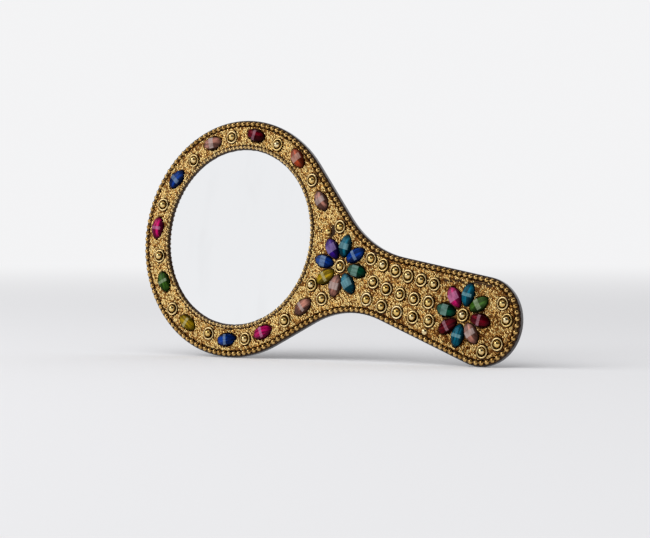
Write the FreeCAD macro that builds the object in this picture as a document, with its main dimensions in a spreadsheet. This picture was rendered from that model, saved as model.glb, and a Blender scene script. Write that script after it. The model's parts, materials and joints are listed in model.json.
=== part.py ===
"""Hand mirror: a lacquered board with a bed of lac that holds a round glass, ball chains, studs and stones.

Millimetres. X runs along the line that the mirror stands on, from the head to the handle end, Z is up and
the glass faces -Y. The origin is below the middle of the whole mirror, on that line.
"""
import FreeCAD, Part
import math
import os

import Sketcher
from FreeCAD import Placement, Rotation, Vector

doc = FreeCAD.newDocument("hand_mirror")
FRONT = Vector(0, -1, 0)
SAME_PLACE = 1e-6

# Driving dimensions
SIZES = (
    ("glass_radius", 40, "mirror glass"),
    ("glass_thickness", 1.5, "mirror glass"),
    ("glass_gap", 0.2, "between glass and lac, all round"),
    ("glass_bevel", 0.3, "ground front edge of the glass"),
    ("glass_shift", 0.8, "glass centre from head centre, along X"),
    ("glass_lift", 0.6, "glass centre from head centre, along Z"),
    ("bedding_thickness", 0.2, "adhesive below the glass"),
    ("bedding_margin", 1.5, "glass past its bedding"),
    ("border_width", 8.9, "flat lac between glass and rim channel"),
    ("handle_length", 77, "head edge to centre of the handle end, along X"),
    ("upper_hollow_radius", 47.4, "hollow above the neck"),
    ("lower_hollow_radius", 41.8, "hollow below the neck"),
    ("upper_shoulder", 30, "straight run from head to upper hollow"),
    ("lower_shoulder", 22, "straight run from head to lower hollow"),
    ("shell_wall", 0.3, "lacquer on back and edge"),
    ("shell_round", 1.3, "back edge"),
    ("lip_height", 0.5, "shell above the channel floor"),
    ("board_thickness", 1.2, "core board"),
    ("lac_thickness", 2.2, "lac bed"),
    ("lac_floor", 0.6, "lac below the rim channel"),
    ("lac_round", 0.4, "top edges of the lac bed"),
    ("rim_ball", 2.3, "ball diameter of the rim chain"),
    ("rim_link", 0.4, "wire between two balls of the rim chain"),
    ("glass_ball", 1.6, "ball diameter of the chain round the glass"),
    ("glass_link", 0.5, "wire between two balls of that chain"),
    ("chain_gap", 0.05, "between a chain and the walls beside it"),
    ("link_diameter", 0.6, "wire of both chains"),
    ("stone_length", 9.5, "stone, tip to tip"),
    ("stone_width", 5.4, "stone at its middle band"),
    ("stone_band", 1.5, "length of the middle band"),
    ("stone_waist", 4.7, "stone width between band and tip facets"),
    ("stone_waist_run", 1.5, "from the band to that width"),
    ("stone_tip_facet", 1.2, "length of the facets at a tip"),
    ("stone_shoulder", 3.2, "stone width where the tip facets start"),
    ("stone_tip", 1.1, "stone width at a tip"),
    ("stone_table", 2.4, "top facet of the band, across"),
    ("stone_bevel", 4.5, "stone width at the crown's upper break"),
    ("stone_bevel_drop", 0.22, "that break below the top"),
    ("stone_slope", 12, "facets from the band to the tip facets, degrees"),
    ("stone_rise", 2.0, "top of the band above the lac"),
    ("stone_tip_height", 0.6, "top of a tip above the lac"),
    ("stone_sink", 0.9, "stone below the lac"),
    ("socket_gap", 0.05, "between a stone or stud and the side of its socket"),
    ("stud_radius", 2.75, "stud cup"),
    ("stud_height", 1.4, "stud cup, whole"),
    ("stud_sink", 0.65, "stud cup below the lac"),
    ("stud_rim", 0.8, "wall of the cup, round-topped"),
    ("stud_base", 0.3, "bottom of the cup"),
    ("stud_seat", 0.8, "radius of the hole that the ball sits on"),
    ("stud_ball", 2.6, "ball diameter"),
    ("stud_space", 1.2, "least gap between studs of a row"),
    ("bare_sink", 0.9, "ball without a cup, below the lac"),
    ("petals", 8, "stones of a flower"),
    ("first_petal", 122, "direction of a flower's first stone, degrees"),
    ("petal_gap", 0.6, "between stones of a flower"),
    ("flower_gap", 3.8, "glass opening to the neck flower"),
    ("neck_flower_offset", 3.0, "neck flower above the handle axis"),
    ("flower_setback", 9.2, "handle flower before the centre of the end"),
    ("end_margin", 2.4, "handle flower to rim channel"),
    ("end_stud_gap", 0.55, "end studs to rim channel"),
    ("upper_row_space", 3.5, "upper row to middle row of studs"),
    ("lower_row_space", 1.8, "lower row to middle row of studs"),
    ("rim_space", 0.35, "outer rows of studs to rim channel, at the neck"),
    ("upper_row_drop", 1.05, "last stud of the upper row nearer to the axis than the neck has it"),
    ("upper_row_fan", 1.7, "first stud of that row further out than the last"),
    ("middle_row_fan", 0.5, "first stud of the middle row further out than the last"),
    ("lower_row_fan", 0, "first stud of the lower row further in than the last"),
    ("row_lift", 0.5, "all three rows above the handle axis"),
    ("row_sag", 1.0, "middle of a row below a straight line"),
    ("upper_row_lead", 0.9, "neck flower to the first stud of the upper row"),
    ("middle_row_lead", 5.2, "the same, middle row"),
    ("lower_row_lead", 4.3, "the same, lower row"),
    ("upper_row_trail", 4.4, "last stud of the upper row to the handle flower"),
    ("middle_row_trail", 4.6, "the same, middle row"),
    ("lower_row_trail", 1.9, "the same, lower row"),
    ("neck_stud_gap", 0.3, "neck flower to the studs below it"),
    ("wall_gap", 0.45, "stud above the neck flower, and loose ball, to rim channel"),
    ("shoulder_stud_run", 30.5, "head to the stud above the neck flower, along the upper shoulder"),
    ("loose_gap", 0.55, "last stud of the lower row to the loose ball"),
)

# What follows from them
FITS = (
    ("flush", "0"),
    ("edge_round", "min(Sizes.shell_round; Sizes.shell_wall + 0.9 * Sizes.board_thickness)"),
    ("shell_inside", "Sizes.shell_wall"),
    ("channel_middle", "Sizes.shell_wall + Sizes.chain_gap + Sizes.rim_ball / 2"),
    ("ledge_width", "Sizes.shell_wall + 2 * Sizes.chain_gap + Sizes.rim_ball"),
    ("opening_radius", "Sizes.glass_radius + Sizes.glass_gap"),
    ("head_radius", "opening_radius + Sizes.border_width + ledge_width"),
    ("ring_radius", "opening_radius + Sizes.border_width / 2"),
    ("stone_width_x", "Sizes.stone_band / 2"),
    ("stone_waist_x", "stone_width_x + Sizes.stone_waist_run"),
    ("stone_shoulder_x", "Sizes.stone_length / 2 - Sizes.stone_tip_facet"),
    ("stone_tip_x", "Sizes.stone_length / 2"),
    ("stone_fall", "tan(Sizes.stone_slope * 1 deg)"),
    ("stone_width_rise", "Sizes.stone_rise"),
    ("stone_waist_rise", "Sizes.stone_rise - (stone_waist_x - stone_width_x) * stone_fall"),
    ("stone_shoulder_rise", "Sizes.stone_rise - (stone_shoulder_x - stone_width_x) * stone_fall"),
    ("stone_tip_rise", "Sizes.stone_tip_height"),
    ("ball_lift", "sqrt((Sizes.stud_ball / 2) ^ 2 - Sizes.stud_seat ^ 2)"),
    ("stud_top", "Sizes.stud_base + ball_lift + Sizes.stud_ball / 2 - Sizes.stud_sink"),
    ("petal_reach", "Sizes.stud_radius + Sizes.petal_gap + Sizes.stone_length / 2"),
    ("petal_half", "Sizes.stone_width / 2 + Sizes.petal_gap"),
    ("petal_side", "Sizes.stone_band / 2 + petal_half / tan(180 deg / Sizes.petals)"),
    ("petal_radius", "max(petal_reach; petal_side)"),
    ("flower_radius", "petal_radius + Sizes.stone_length / 2"),
    ("end_radius", "flower_radius + Sizes.end_margin + ledge_width"),
    ("upper_row", "2 * Sizes.stud_radius + Sizes.upper_row_space"),
    ("lower_row", "2 * Sizes.stud_radius + Sizes.lower_row_space"),
    ("upper_neck", "upper_row + Sizes.stud_radius + Sizes.rim_space + ledge_width"),
    ("lower_neck", "lower_row + Sizes.stud_radius + Sizes.rim_space + ledge_width"),
    ("span", "head_radius + Sizes.handle_length"),
    ("head_x", "(head_radius - end_radius - span) / 2"),
    ("end_x", "head_x + span"),
    ("lip_level", "Sizes.shell_wall + Sizes.board_thickness + Sizes.lac_floor + Sizes.lip_height"),
    ("lac_level", "Sizes.shell_wall + Sizes.board_thickness + Sizes.lac_thickness"),
    ("back_y", "(lac_level + max(Sizes.stone_rise; stud_top)) / 2"),
    ("board_y", "back_y - Sizes.shell_wall"),
    ("bed_y", "board_y - Sizes.board_thickness"),
    ("lac_y", "bed_y - Sizes.lac_thickness"),
    ("glass_y", "bed_y - Sizes.bedding_thickness - Sizes.glass_thickness"),
)


def make_sheet(name, rows, formula):
    """A sheet of aliased cells: plain numbers, or formulas of them."""
    sheet = doc.addObject("Spreadsheet::Sheet", name)
    for line, row in enumerate(rows, start=1):
        sheet.set(f"A{line}", row[0])
        sheet.set(f"B{line}", f"={row[1]}" if formula else str(row[1]))
        sheet.setAlias(f"B{line}", row[0])
        if not formula:
            sheet.set(f"C{line}", row[2])
    doc.recompute()
    return sheet


sizes = make_sheet("Sizes", SIZES, False)
fits = make_sheet("Fits", FITS, True)


def size(name):
    return float(sizes.get(name))


def fit(name):
    return float(fits.get(name))


# Layout of the front, about the head centre and along the axis from head to handle end
HEAD = Vector(fit("head_x"), fit("head_radius"), 0)
END = Vector(fit("end_x"), fit("end_radius"), 0)
AXIS = (END - HEAD).normalize()
ACROSS = Vector(-AXIS.y, AXIS.x, 0)
GLASS = HEAD + Vector(size("glass_shift"), size("glass_lift"), 0)


def turned(angle):
    """Unit vector in the front plane, degrees from +X towards +Z."""
    return Vector(math.cos(math.radians(angle)), math.sin(math.radians(angle)), 0)


def along(distance, offset=0):
    """A point at a distance from the head centre along the handle axis, and an offset above it."""
    return HEAD + AXIS * distance + ACROSS * offset


def place(point, y, angle=0):
    """Placement at a point of the front plane, turned in that plane."""
    return Placement(Vector(point.x, y, point.y), Rotation(FRONT, angle))


# Sketches and features
def origin_plane(body, role):
    return next(plane for plane in body.Origin.OriginFeatures if plane.Role == role)


def make_body(label, y_formula=None):
    body = doc.addObject("PartDesign::Body", label)
    body.Label = label
    if y_formula:
        body.setExpression("Placement.Base.y", y_formula)
    return body


def make_sketch(body, name, role="XZ_Plane", offset_formula=None):
    """A sketch on one of the body's own planes, or parallel to it at an offset."""
    sketch = body.newObject("Sketcher::SketchObject", name)
    sketch.AttachmentSupport = [(origin_plane(body, role), "")]
    sketch.MapMode = "FlatFace"
    if offset_formula:
        sketch.setExpression("AttachmentOffset.Base.z", offset_formula)
    return sketch


def dimension(sketch, kind, references, value, formula):
    index = sketch.addConstraint(Sketcher.Constraint(kind, *references, value))
    sketch.setExpression(f"Constraints[{index}]", formula)


def place_point(sketch, geometry, position, point, x_formula, y_formula):
    dimension(sketch, "DistanceX", (-1, 1, geometry, position), point.x, x_formula)
    dimension(sketch, "DistanceY", (-1, 1, geometry, position), point.y, y_formula)


def touch_points(first, first_radius, second, second_radius, side):
    """Ends of a line that touches two circles and crosses between them."""
    line = second - first
    lean = math.acos((first_radius + second_radius) / line.Length)
    out = turned(math.degrees(math.atan2(line.y, line.x) + side * lean))
    return first + out * first_radius, second - out * second_radius


def hollow_centre(name, side):
    """Centre of a hollow that a straight shoulder joins to the head, a neck's width off the axis."""
    radius = size(f"{name}_hollow_radius")
    offset = fit(f"{name}_neck") + radius
    distance = math.hypot(fit("head_radius") + radius, size(f"{name}_shoulder"))
    return along(math.sqrt(distance**2 - offset**2), side * offset)


def arc(centre, radius, start, end):
    angles = [math.atan2((point - centre).y, (point - centre).x) for point in (start, end)]
    return Part.ArcOfCircle(Part.Circle(centre, Vector(0, 0, 1), radius), *angles)


def outline_circles(margin):
    """Centre and radius of head, upper hollow, end and lower hollow, with the paddle set in by a margin."""
    return (
        (HEAD, fit("head_radius") - margin),
        (hollow_centre("upper", 1), size("upper_hollow_radius") + margin),
        (END, fit("end_radius") - margin),
        (hollow_centre("lower", -1), size("lower_hollow_radius") + margin),
    )


def outline_runs(margin):
    """Ends of the straight runs between those circles, clockwise from the head's top."""
    head, over, end, under = outline_circles(margin)
    return (
        touch_points(*head, *over, 1),
        touch_points(*over, *end, -1),
        touch_points(*end, *under, 1),
        touch_points(*under, *head, -1),
    )


def draw_outline(sketch, inset):
    """The paddle, set in by one of the fits: head, end and two hollows, joined by straight runs."""
    margin = fit(inset)
    head, over, end, under = outline_circles(margin)
    runs = outline_runs(margin)
    (head_top, over_head), (over_end, end_top), (end_low, under_end), (under_head, head_low) = runs
    sketch.addGeometry([
        arc(*head, head_top, head_low),
        Part.LineSegment(head_top, over_head),
        arc(*over, over_head, over_end),
        Part.LineSegment(over_end, end_top),
        arc(*end, end_low, end_top),
        Part.LineSegment(end_low, under_end),
        arc(*under, under_end, under_head),
        Part.LineSegment(under_head, head_low),
    ], False)
    sketch.addGeometry(Part.LineSegment(HEAD, END), True)
    head_to_end = ((0, 1, 1, 1), (1, 2, 2, 1), (2, 2, 3, 1), (3, 2, 4, 2))
    end_to_head = ((4, 1, 5, 1), (5, 2, 6, 1), (6, 2, 7, 1), (7, 2, 0, 2))
    for joint in head_to_end + end_to_head:
        sketch.addConstraint(Sketcher.Constraint("Tangent", *joint))
    sketch.addConstraint(Sketcher.Constraint("Coincident", 8, 1, 0, 3))
    sketch.addConstraint(Sketcher.Constraint("Coincident", 8, 2, 4, 3))
    place_point(sketch, 0, 3, HEAD, "Fits.head_x", "Fits.head_radius")
    place_point(sketch, 4, 3, END, "Fits.end_x", "Fits.end_radius")
    dimension(sketch, "Radius", (0,), head[1], f"Fits.head_radius - Fits.{inset}")
    dimension(sketch, "Radius", (4,), end[1], f"Fits.end_radius - Fits.{inset}")
    for run, hollow, name, radius in ((1, 2, "upper", over[1]), (7, 6, "lower", under[1])):
        hollow_size = f"Sizes.{name}_hollow_radius"
        neck = fit(f"{name}_neck") - margin + radius
        dimension(sketch, "Radius", (hollow,), radius, f"{hollow_size} + Fits.{inset}")
        dimension(sketch, "Distance", (run,), size(f"{name}_shoulder"), f"Sizes.{name}_shoulder")
        dimension(sketch, "Distance", (hollow, 3, 8), neck, f"Fits.{name}_neck + {hollow_size}")


def draw_disc(sketch, radius, radius_formula):
    """A circle about the centre of the glass."""
    sketch.addGeometry(Part.Circle(GLASS, Vector(0, 0, 1), radius), False)
    x_formula = "Fits.head_x + Sizes.glass_shift"
    place_point(sketch, 0, 3, GLASS, x_formula, "Fits.head_radius + Sizes.glass_lift")
    dimension(sketch, "Radius", (0,), radius, radius_formula)


def draw_polygon(sketch, corners):
    """A closed outline through corners given as pairs of formulas with their values."""
    points = [Vector(x, y, 0) for x, y, _, _ in corners]
    for start, end in zip(points, points[1:] + points[:1]):
        sketch.addGeometry(Part.LineSegment(start, end), False)
    for index, (_, _, x_formula, y_formula) in enumerate(corners):
        before = (index or len(corners)) - 1
        sketch.addConstraint(Sketcher.Constraint("Coincident", before, 2, index, 1))
        place_point(sketch, index, 1, points[index], x_formula, y_formula)


def pad(body, name, sketch, length_formula):
    feature = body.newObject("PartDesign::Pad", name)
    feature.Profile = sketch
    feature.setExpression("Length", length_formula)
    return feature


def pocket_forward(body, name, sketch):
    """Cut all that lies in front of the sketch."""
    feature = body.newObject("PartDesign::Pocket", name)
    feature.Profile = sketch
    feature.Type = "ThroughAll"
    feature.Reversed = True
    return feature


def edges_at(feature, y):
    """Names of the feature's edges that lie in one plane across Y."""
    flat = []
    for number, edge in enumerate(feature.Shape.Edges, start=1):
        box = edge.BoundBox
        if abs(box.YMin - y) < SAME_PLACE and abs(box.YMax - y) < SAME_PLACE:
            flat.append(f"Edge{number}")
    return flat


def dress(body, kind, name, base, edges, formula):
    """Round or bevel some edges of a feature."""
    feature = body.newObject(f"PartDesign::{kind}", name)
    feature.Base = (base, edges)
    feature.setExpression("Radius" if kind == "Fillet" else "Size", formula)
    return feature


# Flat layers, from the back to the glass
def make_shell():
    """Lacquer over back and edge: a shallow tray whose lip keeps the rim chain in."""
    body = make_body("lacquer_shell", "Fits.back_y")
    outer = make_sketch(body, "shell_outline")
    draw_outline(outer, "flush")
    block = pad(body, "shell_block", outer, "Fits.lip_level")
    inner = make_sketch(body, "shell_hollow", offset_formula="Sizes.shell_wall")
    draw_outline(inner, "shell_inside")
    tray = pocket_forward(body, "shell_tray", inner)
    doc.recompute()
    if tray.Shape.Volume >= block.Shape.Volume:
        raise RuntimeError("the shell is not hollow")
    corner = edges_at(tray, -size("shell_wall"))
    inside = dress(body, "Fillet", "shell_inner_edge", tray, corner, "Fits.edge_round - Sizes.shell_wall")
    doc.recompute()
    dress(body, "Fillet", "shell_back_edge", inside, edges_at(inside, 0), "Fits.edge_round")
    return body


def make_board():
    """Stiff board inside the shell."""
    body = make_body("core_board", "Fits.board_y")
    outline = make_sketch(body, "board_outline")
    draw_outline(outline, "shell_inside")
    sheet = pad(body, "board_sheet", outline, "Sizes.board_thickness")
    doc.recompute()
    edge = edges_at(sheet, 0)
    dress(body, "Fillet", "board_back_edge", sheet, edge, "Fits.edge_round - Sizes.shell_wall")
    return body


def make_lac_slab():
    """Lac bed before anything is pressed in: a low floor for the rim chain, a raised field, an opening."""
    body = make_body("lac_slab", "Fits.bed_y")
    floor = make_sketch(body, "lac_floor_outline")
    draw_outline(floor, "shell_inside")
    pad(body, "lac_floor", floor, "Sizes.lac_floor")
    field = make_sketch(body, "lac_field_outline")
    draw_outline(field, "ledge_width")
    raised = pad(body, "lac_field", field, "Sizes.lac_thickness")
    opening = make_sketch(body, "glass_opening_outline")
    draw_disc(opening, fit("opening_radius"), "Fits.opening_radius")
    cut = pocket_forward(body, "glass_opening", opening)
    doc.recompute()
    if cut.Shape.Volume >= raised.Shape.Volume:
        raise RuntimeError("the lac has no opening for the glass")
    dress(body, "Fillet", "lac_top_edge", cut, edges_at(cut, -size("lac_thickness")), "Sizes.lac_round")
    return body


def make_bedding():
    """Adhesive between board and glass."""
    body = make_body("glass_bedding", "Fits.bed_y")
    disc = make_sketch(body, "bedding_outline")
    radius = size("glass_radius") - size("bedding_margin")
    draw_disc(disc, radius, "Sizes.glass_radius - Sizes.bedding_margin")
    pad(body, "bedding_disc", disc, "Sizes.bedding_thickness")
    return body


def make_glass():
    """Round mirror glass with a ground front edge."""
    body = make_body("mirror_glass", "Fits.bed_y - Sizes.bedding_thickness")
    disc = make_sketch(body, "glass_outline")
    draw_disc(disc, size("glass_radius"), "Sizes.glass_radius")
    sheet = pad(body, "glass_disc", disc, "Sizes.glass_thickness")
    doc.recompute()
    rim = edges_at(sheet, -size("glass_thickness"))
    dress(body, "Chamfer", "glass_edge", sheet, rim, "Sizes.glass_bevel")
    return body


# Ball chains
def make_group(label, solids):
    """Separate equal solids under one label."""
    group = doc.addObject("Part::Feature", label)
    group.Label = label
    group.Shape = Part.makeCompound(solids)
    group.Placement = Placement()
    return group


def make_chain(label, centres, ball):
    """Balls at the given centres, and a wire from each to the next."""
    balls = [Part.makeSphere(ball / 2, centre) for centre in centres]
    links = []
    for start, end in zip(centres, centres[1:] + centres[:1]):
        step = end - start
        way = Vector(step).normalize()
        foot = start + way * (ball / 2)
        links.append(Part.makeCylinder(size("link_diameter") / 2, step.Length - ball, foot, way))
    return [make_group(f"{label}_balls", balls), make_group(f"{label}_links", links)]


def make_rim_chain():
    """Chain in the channel between the shell's lip and the raised lac."""
    path = doc.addObject("Sketcher::SketchObject", "rim_chain_path")
    height = fit("bed_y") - size("lac_floor") - size("rim_ball") / 2
    path.Placement = Placement(Vector(0, height, 0), Rotation(Vector(1, 0, 0), 90))
    draw_outline(path, "channel_middle")
    doc.recompute()
    wire = path.Shape.Wires[0]
    count = int(wire.Length / (size("rim_ball") + size("rim_link")))
    return make_chain("rim_chain", wire.discretize(Number=count + 1)[:count], size("rim_ball"))


def make_glass_chain():
    """Chain on the edge of the glass, against the wall of the opening."""
    radius = fit("opening_radius") - size("chain_gap") - size("glass_ball") / 2
    height = fit("glass_y") - size("glass_ball") / 2
    count = int(2 * math.pi * radius / (size("glass_ball") + size("glass_link")))
    centres = []
    for index in range(count):
        point = GLASS + turned(360 * index / count) * radius
        centres.append(Vector(point.x, height, point.y))
    return make_chain("glass_chain", centres, size("glass_ball"))


# Patterns that are set many times
STATIONS = ("stone_width", "stone_waist", "stone_shoulder", "stone_tip")


def draw_stone_section(sketch, station):
    """Flat back, upright sides and a crown of three facets, nearly flat, across the stone at a station."""
    half = size(station) / 2
    half_formula = f"Sizes.{station} / 2"
    share = size(station) / size("stone_width")
    share_formula = f"Sizes.{station} / Sizes.stone_width"
    top = fit(f"{station}_rise")
    top_formula = f"Fits.{station}_rise"
    upper_break = top - size("stone_bevel_drop") * share
    break_formula = f"{top_formula} - Sizes.stone_bevel_drop * {share_formula}"
    side = [
        (size("stone_sink"), half, "Sizes.stone_sink", half_formula),
        (0, half, "0", half_formula),
    ]
    levels = ((upper_break, break_formula, "stone_bevel"), (top, top_formula, "stone_table"))
    for height, formula, across in levels:
        across_formula = f"Sizes.{across} / 2 * {share_formula}"
        side.append((-height, size(across) / 2 * share, f"-({formula})", across_formula))
    other = [(y, -z, y_formula, f"-({z_formula})") for y, z, y_formula, z_formula in reversed(side)]
    draw_polygon(sketch, side + other)


def make_stone_pattern():
    """Flat-backed stone, pointed at both ends: a band across its middle, facets down to the tips."""
    body = make_body("stone_pattern")
    spots = [(station, f"-Fits.{station}_x") for station in reversed(STATIONS)]
    spots += [(station, f"Fits.{station}_x") for station in STATIONS]
    sections = []
    for number, (station, formula) in enumerate(spots, start=1):
        sketch = make_sketch(body, f"stone_section_{number}", "YZ_Plane", formula)
        draw_stone_section(sketch, station)
        sections.append(sketch)
    loft = body.newObject("PartDesign::AdditiveLoft", "stone_facets")
    loft.Profile = sections[0]
    loft.Sections = sections[1:]
    loft.Ruled = True
    return body


def make_socket_pattern():
    """What a stone takes out of the lac: its outline with the gap round it."""
    body = make_body("socket_pattern")
    gap = size("socket_gap")
    gap_formula = "Sizes.socket_gap"
    quarter = []
    for station in STATIONS:
        half = size(station) / 2 + gap
        half_formula = f"(Sizes.{station} / 2 + {gap_formula})"
        quarter.append((fit(f"{station}_x"), half, f"Fits.{station}_x", half_formula))
    x, z, x_formula, z_formula = quarter.pop()
    quarter.append((x + gap, z, f"({x_formula} + {gap_formula})", z_formula))
    corners = []
    for x_sign, z_sign, order in ((1, 1, 1), (1, -1, -1), (-1, -1, 1), (-1, 1, -1)):
        for x, z, x_formula, z_formula in quarter[::order]:
            corners.append((x_sign * x, z_sign * z, f"{x_sign} * {x_formula}", f"{z_sign} * {z_formula}"))
    sketch = make_sketch(body, "socket_outline")
    draw_polygon(sketch, corners)
    pad(body, "socket_depth", sketch, "2 * Sizes.stone_sink")
    return body


def make_cup_pattern():
    """Turned cup with a round-topped wall and a hole that the ball sits on."""
    body = make_body("cup_pattern")
    sketch = make_sketch(body, "cup_profile", "XY_Plane")
    outer = (size("stud_radius"), "Sizes.stud_radius")
    inner = (outer[0] - size("stud_rim"), "Sizes.stud_radius - Sizes.stud_rim")
    seat = (size("stud_seat"), "Sizes.stud_seat")
    crest = (size("stud_rim") / 2 - size("stud_height"), "Sizes.stud_rim / 2 - Sizes.stud_height")
    floor = (-size("stud_base"), "-Sizes.stud_base")
    foot = (0, "0")
    corners = ((seat, foot), (outer, foot), (outer, crest), (inner, crest), (inner, floor), (seat, floor))
    points = [Vector(x[0], y[0], 0) for x, y in corners]
    for start, end in ((0, 1), (1, 2), (3, 4), (4, 5), (5, 0)):
        sketch.addGeometry(Part.LineSegment(points[start], points[end]), False)
    sketch.addGeometry(arc((points[2] + points[3]) / 2, size("stud_rim") / 2, points[3], points[2]), False)
    for joint in ((0, 2, 1, 1), (1, 2, 5, 2), (5, 1, 2, 1), (2, 2, 3, 1), (3, 2, 4, 1), (4, 2, 0, 1)):
        sketch.addConstraint(Sketcher.Constraint("Coincident", *joint))
    ends = ((0, 1), (1, 1), (1, 2), (2, 1), (3, 1), (4, 1))
    for (line, end), point, (x, y) in zip(ends, points, corners):
        place_point(sketch, line, end, point, x[1], y[1])
    dimension(sketch, "DistanceY", (-1, 1, 5, 3), crest[0], crest[1])
    turned_cup = body.newObject("PartDesign::Revolution", "cup_turned")
    turned_cup.Profile = sketch
    turned_cup.ReferenceAxis = (sketch, ["V_Axis"])
    return body


def make_ball_pattern():
    """Ball of a stud."""
    ball = doc.addObject("Part::Sphere", "ball_pattern")
    ball.setExpression("Radius", "Sizes.stud_ball / 2")
    return ball


stone_pattern = make_stone_pattern()
socket_pattern = make_socket_pattern()
cup_pattern = make_cup_pattern()
ball_pattern = make_ball_pattern()
doc.recompute()

# Places as laid by hand: degrees about the head centre, the step out from the middle of the border and,
# for a stone, its turn from the tangent
RING_STONES = (
    (20.5, 2.3, 14),
    (49.5, 1.2, -13),
    (82, 0.9, -8),
    (112, 0.5, -10),
    (144, -0.4, -6),
    (174.5, 0, 0),
    (207, -1.4, 0),
    (237.5, -0.2, 0),
    (268, -0.3, 9),
    (293.5, -0.4, 0),
    (322.5, 3.3, -12),
)
RING_STUDS = (
    (33.5, 1.4),
    (65.5, 0.2),
    (98.5, 0.3),
    (128, -1.1),
    (161, 0.1),
    (191, -1.6),
    (224, 0.9),
    (254.5, -1.2),
    (281, 0),
    (309.5, 1.1),
)

# Directions as laid by hand: from the centre of the handle end, and from the middle of the neck flower
END_STUDS = (37, 3, -47, -83)
NECK_STUDS = (210, 239)
LONE_BALL = 117


def ring_place(angle, step):
    """A place on the border round the glass."""
    return HEAD + turned(angle) * (fit("ring_radius") + step)


def flower_centres():
    """Middle of the flower at the neck, clear of the glass opening, and of the one near the handle end."""
    offset = size("neck_flower_offset")
    distance = fit("opening_radius") + size("flower_gap") + fit("flower_radius")
    neck = along(math.sqrt(distance**2 - offset**2), offset)
    return neck, END - AXIS * size("flower_setback")


def petal_places(centre):
    places = []
    petals = int(size("petals"))
    for index in range(petals):
        angle = size("first_petal") - index * 360 / petals
        places.append((centre + turned(angle) * fit("petal_radius"), angle))
    return places


def neck_place(flower, angle):
    """A place beside the neck flower."""
    return flower + turned(angle) * (fit("flower_radius") + size("neck_stud_gap") + size("stud_radius"))


def wall_place(run, distance, radius):
    """A place for something round beside a straight run of the rim channel's inner wall."""
    start, end = run
    way = (end - start).normalize()
    inward = Vector(way.y, -way.x, 0)
    return start + way * distance + inward * (radius + size("wall_gap"))


def loose_place(run, stud):
    """A place for a loose ball beside that wall, past a stud and clear of it."""
    start, end = run
    way = (end - start).normalize()
    radius = size("stud_ball") / 2
    foot = wall_place(run, (stud - start).dot(way), radius)
    reach = size("stud_radius") + size("loose_gap") + radius
    return foot - way * math.sqrt(max(reach**2 - (stud - foot).Length**2, 0))


def row_places(neck_flower, handle_flower):
    """Three rows of studs between the flowers, as many to a row as its length takes."""
    start = (neck_flower - HEAD).dot(AXIS) + fit("flower_radius")
    end = (handle_flower - HEAD).dot(AXIS) - fit("flower_radius")
    pitch = 2 * size("stud_radius") + size("stud_space")
    lift = size("row_lift")
    upper = lift + fit("upper_row") - size("upper_row_drop")
    offsets = {"upper": upper, "middle": lift, "lower": lift - fit("lower_row")}
    places = []
    for name, offset in offsets.items():
        first = start + size(f"{name}_row_lead")
        length = end - size(f"{name}_row_trail") - first
        steps = max(int(length / pitch), 1)
        for step in range(steps + 1):
            share = step / steps
            sag = size("row_sag") * 4 * share * (1 - share)
            out = offset + size(f"{name}_row_fan") * (1 - share) - sag
            places.append(along(first + length * share, out))
    return places


def end_places():
    """Studs round the handle end, just inside the rim channel."""
    radius = fit("end_radius") - fit("ledge_width") - size("stud_radius") - size("end_stud_gap")
    return [END + turned(angle) * radius for angle in END_STUDS]


def socket_cutters(stones, studs, bare):
    """What stones, cups and bare balls take out of the lac."""
    gap = size("socket_gap")
    stud_socket = Part.makeCylinder(size("stud_radius") + gap, 2 * size("stud_sink"), Vector(), FRONT)
    ball_socket = Part.makeSphere(size("stud_ball") / 2 + gap, FRONT * gap)
    cutters = []
    for shape, places in ((socket_pattern.Shape, stones), (stud_socket, studs), (ball_socket, bare)):
        for spot in places:
            cutter = shape.copy()
            cutter.Placement = spot
            cutters.append(cutter)
    return cutters


def copies(pattern, places):
    solids = []
    for spot in places:
        solid = pattern.Shape.copy()
        solid.Placement = spot
        solids.append(solid)
    return solids


def make_stone(label, spot):
    stone = doc.addObject("Part::Feature", label)
    stone.Label = label
    stone.Shape = stone_pattern.Shape
    stone.Placement = spot
    return stone


def make_studs(label, points):
    """Cups in their sockets, each with a ball on the edge of its hole."""
    foot = fit("lac_y") + size("stud_sink")
    ball_y = foot - size("stud_base") - fit("ball_lift")
    cups = [place(point, foot) for point in points]
    balls = [place(point, ball_y) for point in points]
    return [make_group(f"{label}_cups", copies(cup_pattern, cups)),
            make_group(f"{label}_balls", copies(ball_pattern, balls))]


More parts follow.
